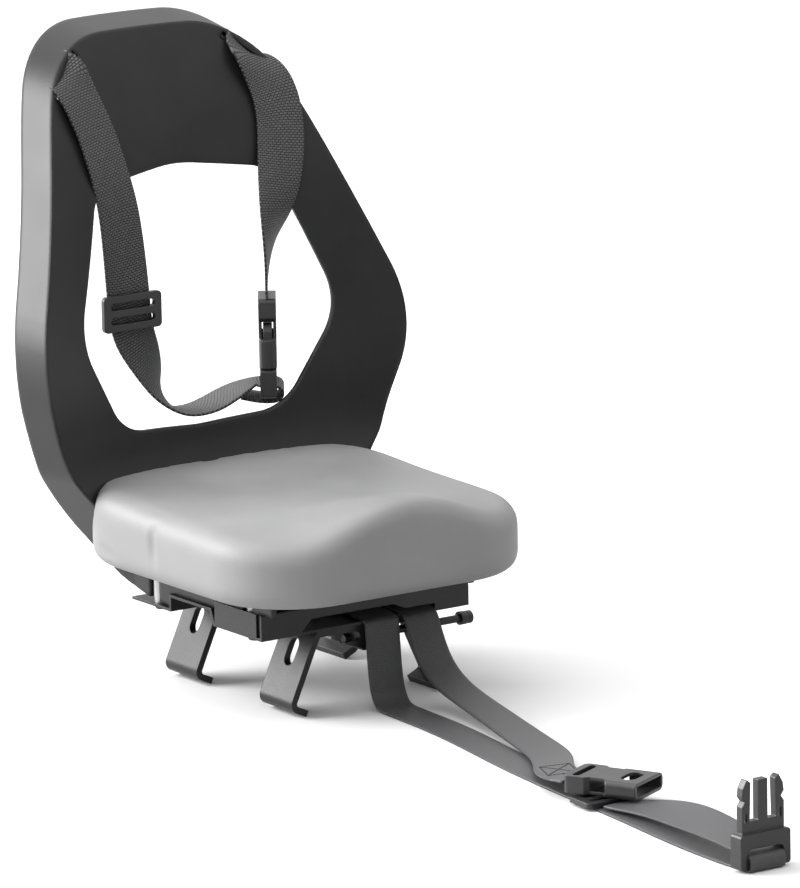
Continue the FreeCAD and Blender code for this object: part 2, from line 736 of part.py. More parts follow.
def upright(radius, low, high, across, along):
    return Part.makeCylinder(radius, high - low, Vector(across, along, low))


def make_fixings():
    """Spacers between the tray and the pan, the screws through them and the hooks' shoulder screws."""
    floor = value(FLOOR)
    spacers, screws, guides = [], [], []
    for across_text, along_text in FIXINGS:
        across, along = value(across_text), value(along_text)
        top = pan_underside(across, along, notch_reach()) - size("fixing_play")
        low = floor + size("tray_sheet")
        bore = size("fixing_radius") + size("fixing_play")
        tube = upright(size("spacer_radius"), low, top, across, along)
        spacers.append(tube.cut(upright(bore, low - 1, top + 1, across, along)))
        head = upright(size("fixing_head_radius"), floor - size("fixing_head"), floor, across, along)
        rim = [edge for edge in head.Edges if edge.BoundBox.ZMax < floor - size("fixing_head") / 2]
        head = head.makeFillet(size("fixing_head") / 2, rim)
        shank = upright(size("fixing_radius"), floor - 1, top - 1, across, along)
        screws.append(head.fuse(shank).removeSplitter())
    for across_text, along_text in GUIDES:
        across, along = value(across_text), value(along_text)
        under = size("hook_top") - size("hook_gauge") - size("hook_gap")
        head = upright(size("guide_head_radius"), under - size("guide_head"), under, across, along)
        shank = upright(size("guide_radius"), under - 1, floor + size("tray_sheet"), across, along)
        guides.append(head.fuse(shank).removeSplitter())
    new_feature("tray_spacers", Part.makeCompound(spacers))
    new_feature("tray_screws", Part.makeCompound(screws))
    new_feature("hook_guide_screws", Part.makeCompound(guides))


def webbing(stations, width):
    """Webbing through stations, each a centre and the direction in which it lies flat."""
    half, thick = width / 2, size("webbing_thickness") / 2
    centres = [centre for centre, _ in stations]
    wires = []
    befores, afters = centres[:1] + centres, centres[1:] + centres[-1:]
    for (centre, flat), before, after in zip(stations, befores, afters):
        run = (after - before).normalize()
        wide = (flat - run * flat.dot(run)).normalize()
        normal = run.cross(wide)
        corners = [centre + wide * (a * half) + normal * (b * thick)
                   for a, b in ((-1, -1), (1, -1), (1, 1), (-1, 1))]
        wires.append(Part.makePolygon(corners + corners[:1]))
    return Part.makeLoft(wires[::-1], True, True)


def slot_direction(side):
    """Direction of a webbing slot, following the curved face."""
    turn = math.radians(size("slot_turn"))
    reach = size("slot_length") / 2
    ends = []
    for sign in (-1, 1):
        across = size("slot_x") + sign * reach * math.cos(turn)
        upward = size("slot_z") - sign * reach * math.sin(turn)
        ends.append(Vector(side * across, face_y(across, upward), upward))
    return (ends[1] - ends[0]).normalize()


def slot_stations(side):
    """Webbing as it comes through its slot and turns down."""
    across, upward = size("slot_x"), size("slot_z")
    face = face_y(across, upward)
    along = slot_direction(side) * side
    return [(Vector(side * across, face + size("shell_wall") / 2, upward), along),
            (Vector(side * across, face - size("webbing_thickness"), upward - 1), along)]


def on_face(across, upward, flat):
    """Station of webbing that hangs just in front of the panel."""
    return Vector(across, face_y(across, upward) - size("webbing_gap"), upward), Vector(*flat)


def make_chest_straps():
    """Chest webbing: the left one ends on the socket, the right one goes round the bar of the insert."""
    hang, gap = size("chest_strap_y"), size("soft_gap")
    bottom = size("window_bottom") + size("webbing_gap")
    turn = math.radians(size("chest_buckle_turn"))
    flat = Vector(math.cos(turn), math.sin(turn), 0)
    through = Vector(math.sin(turn), -math.cos(turn), 0)
    buckle = Vector(size("chest_buckle_x"), size("chest_buckle_y"), size("chest_buckle_z"))
    top = buckle + Vector(0, 0, size("chest_socket_length") + gap)
    left = slot_stations(1) + [
        on_face(91, 438, (0.85, -0.4, -0.4)), on_face(95, 412, (1, -0.28, -0.1)),
        on_face(86, 372, (1, -0.25, 0)), (Vector(72, hang - 21, 340), Vector(0.97, 0.2, 0)),
        (Vector(73, hang - 9, 308), Vector(0.65, 0.75, 0)), (top + Vector(0, 0, 10), flat), (top, flat)]
    new_feature("left_chest_strap", webbing(left, size("chest_webbing")))
    slide, half_slider = size("slider_x"), 0.6 * size("slider_height")
    across = Vector(1, 0, 0)
    right = slot_stations(-1) + [
        on_face(-78, 438, (0.85, 0.4, 0.4)), on_face(-70, 412, (1, 0.24, 0.1)),
        on_face(-65, 376, (1, 0.2, 0)), (Vector(-57, hang, 345), Vector(1, 0.1, 0)),
        (Vector(-slide - 1, hang, size("slider_z") + half_slider), across),
        (Vector(-slide + 1, hang, size("slider_z") - half_slider), across),
        (Vector(-38, hang, 235), Vector(1, 0.3, 0)), (Vector(-29, hang, 214), Vector(0.8, 0.6, 0)),
        (Vector(-23, hang, 201), Vector(0.5, 0.85, 0)), (Vector(-14, hang, bottom + 7), Vector(0.2, 1, 0)),
        (Vector(-2, hang, bottom + 3), Vector(0, 1, 0)), (Vector(16, hang, bottom + 4), Vector(0, 1, 0)),
        (Vector(38, hang + 5, bottom + 10), Vector(0.2, 1, 0))]
    bar = size("chest_socket_length")
    around = 0.14 * size("chest_buckle_width") + gap + size("webbing_thickness")
    for reach, drop in ((-2.3, 0.29), (-1.15, 0.27), (0, 0.27), (0.93, 0.28), (1.33, 0.35), (1.27, 0.43),
                        (0.81, 0.495), (0, 0.51), (-1.15, 0.49), (-2.5, 0.44)):
        right.append((buckle + through * (reach * around) - Vector(0, 0, drop * bar), flat))
    new_feature("right_chest_strap", webbing(right, size("chest_webbing")))


def strap_bar(label, side):
    """Steel bar behind a webbing slot."""
    along = slot_direction(side)
    half = size("strap_bar_length") / 2
    across, upward = size("slot_x"), size("slot_z")
    behind = size("shell_wall") + 1.2 * (size("strap_bar_radius") + size("soft_gap"))
    middle = Vector(side * across, face_y(across, upward) + behind, upward)
    rod = Part.makeCylinder(size("strap_bar_radius"), 2 * half, middle - along * half, along)
    return new_feature(label, rod)


def make_slider(label, width):
    """Three-bar slider: a flat frame with two slots for the webbing."""
    body = new_body(label)
    side, height = "(%s / 2 + slider_frame)" % width, "slider_height / 2"
    frame = [("-" + side, "-" + height), (side, "-" + height), (side, height), ("-" + side, height)]
    pad(body, outline(body, label + "_frame", "XZ_Plane", "0", frame), "slider_thickness")

    def corner(edge):
        return edge.BoundBox.YLength > size("slider_thickness") / 2
    round_edges(body, label + "_corners", corner, "slider_frame / 2")
    for name, middle in (("_upper_slot", "slider_height / 5"), ("_lower_slot", "-slider_height / 5")):
        slot = oblong(body, label + name, "XZ_Plane", "0", ("0", middle),
                      "%s + 2" % width, "slider_height / 5", False)
        pocket(body, slot, "2 * slider_thickness")
    return body


def make_socket(label, width, length):
    """Female half of a side release buckle: a flat mouth, a waist open at both sides and a strap block."""
    body = new_body(label)
    outer = [("0.5", "0"), ("0.5", "0.4"), ("0.36", "0.47"), ("0.36", "0.66"), ("0.43", "0.72"),
             ("0.43", "1")]
    side = [("%s * %s" % (across, width), "%s * %s" % (along, length)) for across, along in outer]
    shell = side + [("-" + across, along) for across, along in side[::-1]]
    pad(body, outline(body, label + "_shell", "XZ_Plane", "0", shell), "0.3 * %s" % width)

    def mouth_edge(edge):
        box = edge.BoundBox
        upright = max(box.XLength, box.YLength) < 0.01 and box.ZLength > 0.3 * value(length)
        return upright and abs(box.Center.x) > 0.45 * value(width)

    def rear_corner(edge):
        box = edge.BoundBox
        return box.YLength > 0.2 * value(width) and box.ZMin > 0.9 * value(length)
    round_edges(body, label + "_mouth_round", mouth_edge, "0.11 * %s" % width)
    round_edges(body, label + "_corners", rear_corner, "0.1 * %s" % width)
    mouth = [("-0.44 * %s" % width, "-1"), ("0.44 * %s" % width, "-1"),
             ("0.44 * %s" % width, "0.66 * %s" % length), ("-0.44 * %s" % width, "0.66 * %s" % length)]
    pocket(body, outline(body, label + "_mouth", "XZ_Plane", "0", mouth), "0.19 * %s" % width)
    bar = oblong(body, label + "_bar_slot", "XZ_Plane", "0", ("0", "0.86 * %s" % length),
                 "0.72 * %s" % width, "0.1 * %s" % length, False)
    pocket(body, bar, width)
    window = oblong(body, label + "_view_window", "XZ_Plane", "0.2 * %s" % width,
                    ("0", "0.22 * %s" % length), "0.5 * %s" % width, "0.2 * %s" % length, False)
    pocket(body, window, "0.24 * %s" % width)
    return body


def make_insert(label, width, length, webbing_name):
    """Male half: a base with a crossbar slot, a centre guide and two sprung prongs."""
    body = new_body(label)
    half, foot, shoulder = "%s / 2" % width, "-0.44 * %s" % length, "-0.02 * %s" % length
    base = [("-" + half, foot), (half, foot), (half, shoulder), ("-" + half, shoulder)]
    pad(body, outline(body, label + "_base", "XZ_Plane", "0", base), "0.28 * %s" % width)

    def corner(edge):
        return edge.BoundBox.YLength > 0.2 * value(width)
    round_edges(body, label + "_corners", corner, "0.06 * %s" % width)
    slot = oblong(body, label + "_bar_slot", "XZ_Plane", "0", ("0", "-0.27 * %s" % length),
                  "%s + 2 * buckle_slot_play" % webbing_name, "0.14 * %s" % length, False)
    pocket(body, slot, width)
    prong = [("0.42", "-0.05"), ("0.42", "0.3"), ("0.36", "0.36"), ("0.42", "0.42"), ("0.4", "0.52"),
             ("0.32", "0.62"), ("0.25", "0.58"), ("0.27", "0.12")]
    guide = [("0.09", "0.12"), ("0.09", "0.6")]
    profile = [("%s * %s" % (across, width), "%s * %s" % (upward, length))
               for across, upward in prong + guide]
    profile += [("-" + across, upward) for across, upward in profile[::-1]]
    pad(body, outline(body, label + "_prongs", "XZ_Plane", "0", profile), "0.15 * %s" % width)
    for name, across in (("_right_eye", "-0.345"), ("_left_eye", "0.345")):
        centre = ("%s * %s" % (across, width), "0.17 * %s" % length)
        eye = oblong(body, label + name, "XZ_Plane", "0", centre,
                     "0.13 * %s" % length, "0.06 * %s" % width, True)
        pocket(body, eye, width)
    return body


def make_safety_strap():
    """Safety webbing: two strands over the tray's front edge, along the ground and on to the buckle."""
    thick, gap = size("webbing_thickness"), size("soft_gap")
    anchor = -size("bead_front") - 3 * size("tray_sheet")
    edge = -size("tray_front") - 2 * thick
    out = value(FLOOR + " + tray_sheet") + thick
    low = thick / 2
    fixed_x, adjust_x = size("fixed_strap_x"), size("adjust_strap_x")
    turn = math.radians(size("safety_female_turn"))
    length = size("safety_socket_length") + thick
    behind = Vector(-math.sin(turn), math.cos(turn), 0)
    mouth = Vector(size("safety_female_x"), size("safety_female_y"), size("safety_female_z"))
    rear = mouth + behind * length
    fixed = [(fixed_x, anchor, out, 0), (fixed_x, edge + 2, out, 0), (fixed_x + 1, edge - 2, out - 3, 0),
             (fixed_x + 2, edge - 9, 45, 0), (fixed_x + 2, edge - 20, 29, 0), (fixed_x + 1, edge - 45, 16, 0),
             (fixed_x - 3, edge - 95, 9, 0), (fixed_x - 20, edge - 170, 5, 0.04),
             (fixed_x - 36, edge - 225, 6, 0.08), (rear.x + 6, rear.y + 34, rear.z - 3, 0)]
    fixed_end = [(rear + behind * 4, Vector(math.cos(turn), math.sin(turn), 0)),
                 (rear, Vector(math.cos(turn), math.sin(turn), 0))]
    slide_x, slide_y = size("safety_slider_x"), size("safety_slider_y")
    male_x, male_y = size("safety_male_x"), size("safety_male_y")
    half_base = 0.14 * size("safety_buckle_width") + gap + thick
    slot = insert_foot() - 0.27 * size("safety_socket_length")
    adjust = [(adjust_x, anchor, out, 0), (adjust_x, edge + 2, out, 0), (adjust_x, edge, out - 3, 0),
              (adjust_x, edge - 2, 30, 0), (adjust_x, edge - 6, 10, 0), (adjust_x - 1, edge - 14, 2.5, 0),
              (adjust_x - 2, edge - 24, low, 0), (adjust_x - 4, edge - 95, low, 0),
              (adjust_x - 25, edge - 205, low, 0), (adjust_x - 33, edge - 275, low, 0),
              (slide_x, slide_y, low, 0), (male_x + 12, male_y + 160, low, 0),
              (male_x + 2, male_y + 85, low, 0), (male_x - 1, male_y + 30, low, 0), (male_x, male_y, low, 0),
              (male_x, male_y - half_base + 1.5, low, 0), (male_x, male_y - half_base, low + 2, 0),
              (male_x, male_y - half_base, slot - 3, 0), (male_x, male_y - half_base + 2, slot - 0.4, 0),
              (male_x, male_y - 2, slot, 0), (male_x, male_y + 12, slot, 0),
              (male_x + 4, male_y + 40, slot + 3, 0.2), (male_x + 13, male_y + 95, slot + 2, 0.45),
              (slide_x + 4, male_y + 145, slot - 3, 0.2), (slide_x + 1, slide_y - 31, 3 * thick, 0.05),
              (slide_x, slide_y - 18, 2.4 * thick, 0)]
    for kind, places in (("fixed", fixed), ("adjust", adjust)):
        stations = [(Vector(across, along, upward), Vector(1, 0, roll))
                    for across, along, upward, roll in places]
        stations += fixed_end if kind == "fixed" else []
        new_feature("safety_strap_" + kind, webbing(stations, size("safety_webbing")))


def insert_foot():
    """Height of the standing insert's shoulder above the ground, with webbing under its base."""
    return 0.44 * size("safety_socket_length") + size("webbing_thickness") + size("soft_gap")


def place(label, base, rotation):
    piece = next(item for item in pieces if item.Label == label)
    piece.Placement = Placement(base, rotation)


def make_fittings():
    """Sliders and buckles, stood where the webbing carries them."""
    make_slider("chest_strap_slider", "chest_webbing")
    make_slider("safety_strap_slider", "safety_webbing")
    for kind in ("chest", "safety"):
        sizes = (kind + "_buckle_width", kind + "_socket_length")
        make_socket(kind + "_buckle_female", *sizes)
        make_insert(kind + "_buckle_male", *sizes, kind + "_webbing")
    upward = Vector(0, 0, 1)
    chest_turn = Rotation(upward, size("chest_buckle_turn"))
    chest = Vector(size("chest_buckle_x"), size("chest_buckle_y"), size("chest_buckle_z"))
    place("chest_buckle_female", chest, chest_turn)
    place("chest_buckle_male", chest, chest_turn)
    clear = size("webbing_thickness") / 2 + size("slider_thickness") / 2 + size("soft_gap")
    place("chest_strap_slider",
          Vector(-size("slider_x"), size("chest_strap_y") - clear, size("slider_z")), Rotation())
    flat = Rotation(Vector(1, 0, 0), -90)
    place("safety_strap_slider",
          Vector(size("safety_slider_x"), size("safety_slider_y"), size("webbing_thickness") / 2 + clear),
          Rotation(upward, -size("safety_slider_turn")).multiply(flat))
    place("safety_buckle_female",
          Vector(size("safety_female_x"), size("safety_female_y"), size("safety_female_z")),
          Rotation(upward, size("safety_female_turn")).multiply(flat))
    place("safety_buckle_male",
          Vector(size("safety_male_x"), size("safety_male_y"), insert_foot()), Rotation())


def check(items):
    """Stop if anything failed to build."""
    for item in doc.Objects:
        if "Invalid" in item.State or "Error" in item.State:
            raise RuntimeError("%s is %s" % (item.Label, item.State))
    for piece in items:
        if piece.Shape.isNull() or not piece.Shape.isValid() or not piece.Shape.Solids:
            raise RuntimeError("%s has no sound shape" % piece.Label)


make_back_shell()
make_seat_cushion()
make_base_tray()
for end_name in ("front", "rear"):
    make_hook(end_name + "_right_hook", -1, end_name)
    make_hook(end_name + "_left_hook", 1, end_name)
    make_clamp(end_name)
make_fixings()
strap_bar("right_strap_bar", -1)
strap_bar("left_strap_bar", 1)
make_chest_straps()
make_safety_strap()
make_fittings()
doc.recompute()
check(pieces)

os.makedirs("parts", exist_ok=True)
for piece in pieces:
    piece.Shape.exportStep("parts/%s.step" % piece.Label)
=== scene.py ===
import math

import bmesh
import bpy
from mathutils import Matrix, Vector
from mathutils.bvhtree import BVHTree


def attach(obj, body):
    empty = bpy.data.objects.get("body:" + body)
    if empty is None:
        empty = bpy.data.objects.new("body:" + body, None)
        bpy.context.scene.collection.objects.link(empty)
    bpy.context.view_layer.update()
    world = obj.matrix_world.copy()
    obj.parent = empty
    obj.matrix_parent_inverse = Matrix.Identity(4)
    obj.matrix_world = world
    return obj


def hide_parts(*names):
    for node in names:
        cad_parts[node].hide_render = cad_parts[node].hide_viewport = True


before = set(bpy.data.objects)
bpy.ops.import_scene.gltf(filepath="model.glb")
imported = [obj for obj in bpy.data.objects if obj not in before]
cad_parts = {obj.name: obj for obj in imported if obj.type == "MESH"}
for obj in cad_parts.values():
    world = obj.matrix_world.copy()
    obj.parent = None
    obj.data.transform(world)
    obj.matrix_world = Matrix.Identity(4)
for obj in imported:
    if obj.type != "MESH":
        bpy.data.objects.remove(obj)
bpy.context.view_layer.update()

# The back shell: backrest, bend and seat pan in one hollow injection moulding.
# It is near-black polymer with a fine spark-eroded grain, worn a little paler along its edges.


def group_tree(name, inputs, outputs):
    tree = bpy.data.node_groups.new(name, "ShaderNodeTree")
    for label, kind, default in inputs:
        socket = tree.interface.new_socket(label, in_out="INPUT", socket_type="NodeSocket" + kind)
        socket.default_value = default
    for label, kind in outputs:
        tree.interface.new_socket(label, in_out="OUTPUT", socket_type="NodeSocket" + kind)
    return tree, tree.nodes.new("NodeGroupInput"), tree.nodes.new("NodeGroupOutput")


def add_node(tree, kind, links=(), **settings):
    """New node with its settings, and links given as input name or number and the socket that feeds it."""
    node = tree.nodes.new("ShaderNode" + kind)
    for key, value in settings.items():
        setattr(node, key, value)
    for socket, source in links:
        if hasattr(source, "is_linked"):
            tree.links.new(source, node.inputs[socket])
        else:
            node.inputs[socket].default_value = source
    return node


def make_edge_wear():
    """Mask that is 1 on worn edges, and a normal that rounds them."""
    tree, given, made = group_tree("edge wear", [("Radius", "Float", 0.002), ("Amount", "Float", 1.0)],
                                   [("Mask", "Float"), ("Normal", "Vector")])
    soft = add_node(tree, "Bevel", [("Radius", given.outputs["Radius"])], samples=6)
    flat = add_node(tree, "NewGeometry")
    match = add_node(tree, "VectorMath", [(0, soft.outputs["Normal"]), (1, flat.outputs["Normal"])],
                     operation="DOT_PRODUCT")
    turned = add_node(tree, "MapRange", [("Value", match.outputs["Value"]), ("From Min", 0.985),
                                         ("From Max", 0.80), ("To Min", 0.0), ("To Max", 1.0)])
    place = add_node(tree, "TexCoord")
    blotch = add_node(tree, "TexNoise", [("Vector", place.outputs["Object"]), ("Scale", 90.0),
                                         ("Detail", 5.0)])
    patchy = add_node(tree, "MapRange", [("Value", blotch.outputs["Fac"]), ("From Min", 0.42),
                                         ("From Max", 0.66), ("To Min", 0.15), ("To Max", 1.0)])
    both = add_node(tree, "Math", [(0, turned.outputs["Result"]), (1, patchy.outputs["Result"])],
                    operation="MULTIPLY")
    scaled = add_node(tree, "Math", [(0, both.outputs["Value"]), (1, given.outputs["Amount"])],
                      operation="MULTIPLY", use_clamp=True)
    tree.links.new(scaled.outputs["Value"], made.inputs["Mask"])
    tree.links.new(soft.outputs["Normal"], made.inputs["Normal"])
    return tree


def make_grain():
    """Fine surface grain as a height, and a slow blotchy tone for colour and gloss."""
    tree, given, made = group_tree("surface grain", [("Size", "Float", 0.001), ("Blotch", "Float", 0.05)],
                                   [("Height", "Float"), ("Tone", "Float")])
    place = add_node(tree, "TexCoord")
    fine = add_node(tree, "Math", [(0, 1.0), (1, given.outputs["Size"])], operation="DIVIDE")
    broad = add_node(tree, "Math", [(0, 1.0), (1, given.outputs["Blotch"])], operation="DIVIDE")
    cells = add_node(tree, "TexVoronoi", [("Vector", place.outputs["Object"]),
                                          ("Scale", fine.outputs["Value"])])
    specks = add_node(tree, "TexNoise", [("Vector", place.outputs["Object"]),
                                         ("Scale", fine.outputs["Value"]), ("Detail", 3.0), ("Roughness", 0.6)])
    height = add_node(tree, "Math", [(0, cells.outputs["Distance"]), (1, specks.outputs["Fac"])],
                      operation="ADD")
    slow = add_node(tree, "TexNoise", [("Vector", place.outputs["Object"]),
                                       ("Scale", broad.outputs["Value"]), ("Detail", 4.0), ("Roughness", 0.55)])
    tree.links.new(height.outputs["Value"], made.inputs["Height"])
    tree.links.new(slow.outputs["Fac"], made.inputs["Tone"])
    return tree


edge_wear = make_edge_wear()
grain = make_grain()


def place_group(tree, group, **values):
    node = tree.nodes.new("ShaderNodeGroup")
    node.node_tree = group
    for label, value in values.items():
        node.inputs[label].default_value = value
    return node


def hard_finish(name, dark, pale, worn, gloss, grain_size, grain_depth, edge, wear, blotch=0.05, metal=0.0,
                shine_level=0.5):
    """Grained hard surface: colour between dark and pale, worn colour on edges, gloss as two roughnesses."""
    material = bpy.data.materials.new(name)
    material.use_nodes = True
    tree = material.node_tree
    shader = tree.nodes["Principled BSDF"]
    shader.inputs["Metallic"].default_value = metal
    shader.inputs["Specular IOR Level"].default_value = shine_level
    rough = place_group(tree, grain, Size=grain_size, Blotch=blotch)
    edges = place_group(tree, edge_wear, Radius=edge, Amount=wear)
    tone = add_node(tree, "MapRange", [("Value", rough.outputs["Tone"]), ("From Min", 0.3),
                                       ("From Max", 0.7)])
    body = add_node(tree, "Mix", [("Factor", tone.outputs["Result"])], data_type="RGBA")
    for socket, colour in ((6, dark), (7, pale)):
        body.inputs[socket].default_value = (*colour, 1)
    scuffed = add_node(tree, "Mix", [("Factor", edges.outputs["Mask"]), (6, body.outputs[2])],
                       data_type="RGBA")
    scuffed.inputs[7].default_value = (*worn, 1)
    shine = add_node(tree, "MapRange", [("Value", rough.outputs["Tone"]), ("From Min", 0.3),
                                        ("From Max", 0.7), ("To Min", gloss[0]), ("To Max", gloss[1])])
    bump = add_node(tree, "Bump", [("Height", rough.outputs["Height"]),
                                   ("Normal", edges.outputs["Normal"]), ("Strength", 0.35),
                                   ("Distance", grain_depth)])
    tree.links.new(scuffed.outputs[2], shader.inputs["Base Color"])
    tree.links.new(shine.outputs["Result"], shader.inputs["Roughness"])
    tree.links.new(bump.outputs["Normal"], shader.inputs["Normal"])
    return material


def dress(material, *names):
    for name in names:
        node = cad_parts[name]
        node.data.materials.clear()
        node.data.materials.append(material)


shell_plastic = hard_finish("shell plastic", dark=(0.0055, 0.0055, 0.006), pale=(0.009, 0.009, 0.0095),
                            worn=(0.045, 0.045, 0.047), gloss=(0.36, 0.42), grain_size=0.0011,
                            grain_depth=0.00010, edge=0.0045, wear=0.6, shine_level=0.27)
dress(shell_plastic, "back_shell")

# The base tray and the four carrier hooks: pressed and bent steel strip.
# They are black powder coated, with a slight orange peel and paler rubbed edges.
powder_coat = hard_finish("black powder coat", dark=(0.006, 0.006, 0.0065), pale=(0.009, 0.009, 0.0095),
                          worn=(0.09, 0.09, 0.095), gloss=(0.34, 0.44), grain_size=0.0024,
                          grain_depth=0.00016, edge=0.0010, wear=0.8, shine_level=0.30)
dress(powder_coat, "base_tray", "front_right_hook", "front_left_hook", "rear_right_hook", "rear_left_hook")

# The clamp screws with their nuts, the tray's screws, the hooks' shoulder screws and the bars of the webbing.
# They are black oxide steel, a little oily and brighter where a spanner or key has rubbed.
black_oxide = hard_finish("black oxide steel", dark=(0.020, 0.020, 0.021), pale=(0.035, 0.034, 0.033),
                          worn=(0.30, 0.29, 0.28), gloss=(0.28, 0.42), grain_size=0.0009,
                          grain_depth=0.00005, edge=0.0006, wear=0.8, blotch=0.012, metal=0.7)
dress(black_oxide, "front_clamp_bolt", "rear_clamp_bolt", "front_clamp_nut", "rear_clamp_nut", "tray_screws",
      "hook_guide_screws", "right_strap_bar", "left_strap_bar")

# The spacers between tray and pan.
# They are cut from zinc plated steel tube and stand in notches of the pan's skirts.
zinc_plate = hard_finish("zinc plate", dark=(0.26, 0.26, 0.27), pale=(0.36, 0.36, 0.37),
                         worn=(0.50, 0.50, 0.50), gloss=(0.30, 0.45), grain_size=0.0012,
                         grain_depth=0.00004, edge=0.0005, wear=0.5, blotch=0.009, metal=1.0)
dress(zinc_plate, "tray_spacers")

# The buckles, the sliders and the bushes under the clamp screws' heads.
# They are injection moulded in black acetal, smoother than the shell.
acetal = hard_finish("black acetal", dark=(0.012, 0.012, 0.013), pale=(0.018, 0.018, 0.019),
                     worn=(0.06, 0.06, 0.062), gloss=(0.30, 0.40), grain_size=0.0007, grain_depth=0.00005,
                     edge=0.0013, wear=0.7, blotch=0.02, shine_level=0.35)
dress(acetal, "chest_strap_slider", "chest_buckle_female", "chest_buckle_male", "safety_strap_slider",
      "safety_buckle_female", "safety_buckle_male", "front_clamp_bush", "rear_clamp_bush")

# The seat cushion: one block of skinned foam that lies on the pan, grey, with a fine leather grain.
# It is remeshed from the plain solid and eased like moulded foam, hollowed for the legs on both sides of its
# nose, and creased where the skin has folded.
foam_voxel = 0.0028
foam_ease = 8
foam_side_z, foam_side_blend = 0.112, 0.03
leg_hollow_x, leg_hollow_y, leg_hollow_width, leg_hollow_depth = 0.088, -0.150, 0.045, 0.009
nose_place, nose_width, nose_lift = (0.012, -0.140), 0.050, 0.006
fold_width = 0.004


def cushion_mesh():
    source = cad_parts["seat_cushion"]
    block = bpy.data.objects.new("foam_block", source.data.copy())
    bpy.context.collection.objects.link(block)
    block.matrix_world = source.matrix_world
    solid = bmesh.new()
    solid.from_mesh(block.data)
    solid.transform(source.matrix_world)
    bmesh.ops.remove_doubles(solid, verts=solid.verts, dist=1e-5)
    solid.to_mesh(block.data)
    solid.free()
    block.matrix_world = Matrix()
    remesh = block.modifiers.new("skin", "REMESH")
    remesh.mode = "VOXEL"
    remesh.voxel_size = foam_voxel
    ease = block.modifiers.new("ease", "SMOOTH")
    ease.iterations = foam_ease
    ease.factor = 0.5
    shaped = bpy.data.meshes.new_from_object(block.evaluated_get(bpy.context.evaluated_depsgraph_get()))
    bpy.data.objects.remove(block)
    return shaped


def press_top(mesh, place, width, lift):
    """Raise or lower the top of the foam in a round patch."""
    for vertex in mesh.vertices:
        gap = Vector((vertex.co.x - place[0], vertex.co.y - place[1])).length
        share = min(max((vertex.co.z - foam_side_z) / foam_side_blend, 0.0), 1.0)
        vertex.co.z += lift * share * math.exp(-(gap / width) ** 2)


def fold_skin(mesh, start, end, width, depth):
    """Press a narrow fold into the skin along a straight line."""
    start, end = Vector(start), Vector(end)
    run = end - start
    for vertex in mesh.vertices:
        along = min(max((vertex.co - start).dot(run) / run.length_squared, 0.0), 1.0)
        gap = (vertex.co - start - run * along).length
        fade = math.sin(math.pi * (0.08 + 0.84 * along))
        vertex.co -= vertex.normal * depth * fade * math.exp(-(gap / width) ** 2)


foam = cushion_mesh()
for side in (-1, 1):
    press_top(foam, (side * leg_hollow_x, leg_hollow_y), leg_hollow_width, -leg_hollow_depth)
press_top(foam, nose_place, nose_width, nose_lift)
fold_skin(foam, (-0.131, 0.002, 0.146), (-0.131, -0.001, 0.112), fold_width, depth=0.0022)
fold_skin(foam, (-0.129, 0.078, 0.112), (-0.131, 0.052, 0.108), fold_width, depth=0.0016)
for face in foam.polygons:
    face.use_smooth = True
cushion = bpy.data.objects.new("foam_cushion", foam)
bpy.context.collection.objects.link(cushion)


def foam_skin():
    material = bpy.data.materials.new("grey foam skin")
    material.use_nodes = True
    tree = material.node_tree
    shader = tree.nodes["Principled BSDF"]
    shader.inputs["Specular IOR Level"].default_value = 0.35
    leather = place_group(tree, grain, Size=0.0016, Blotch=0.07)
    tone = add_node(tree, "MapRange", [("Value", leather.outputs["Tone"]), ("From Min", 0.3),
                                       ("From Max", 0.7)])
    body = add_node(tree, "Mix", [("Factor", tone.outputs["Result"])], data_type="RGBA")
    body.inputs[6].default_value = (0.142, 0.142, 0.143, 1)
    body.inputs[7].default_value = (0.164, 0.164, 0.165, 1)
    shine = add_node(tree, "MapRange", [("Value", leather.outputs["Tone"]), ("From Min", 0.3),
                                        ("From Max", 0.7), ("To Min", 0.48), ("To Max", 0.60)])
    bump = add_node(tree, "Bump", [("Height", leather.outputs["Height"]), ("Strength", 0.25),
                                   ("Distance", 0.00018)])
    tree.links.new(body.outputs[2], shader.inputs["Base Color"])
    tree.links.new(shine.outputs["Result"], shader.inputs["Roughness"])
    tree.links.new(bump.outputs["Normal"], shader.inputs["Normal"])
    return material


foam.materials.clear()
foam.materials.append(foam_skin())
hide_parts("seat_cushion")
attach(cushion, "seat")

# The chest webbing: two lengths of wide black polypropylene tape, coarsely ribbed.
# Each goes round a bar behind the shell and out through a slot; the right one also runs through its slider
# and loops round the buckle's end.
tape_thick = 0.0017
chest_tape_width = 0.038


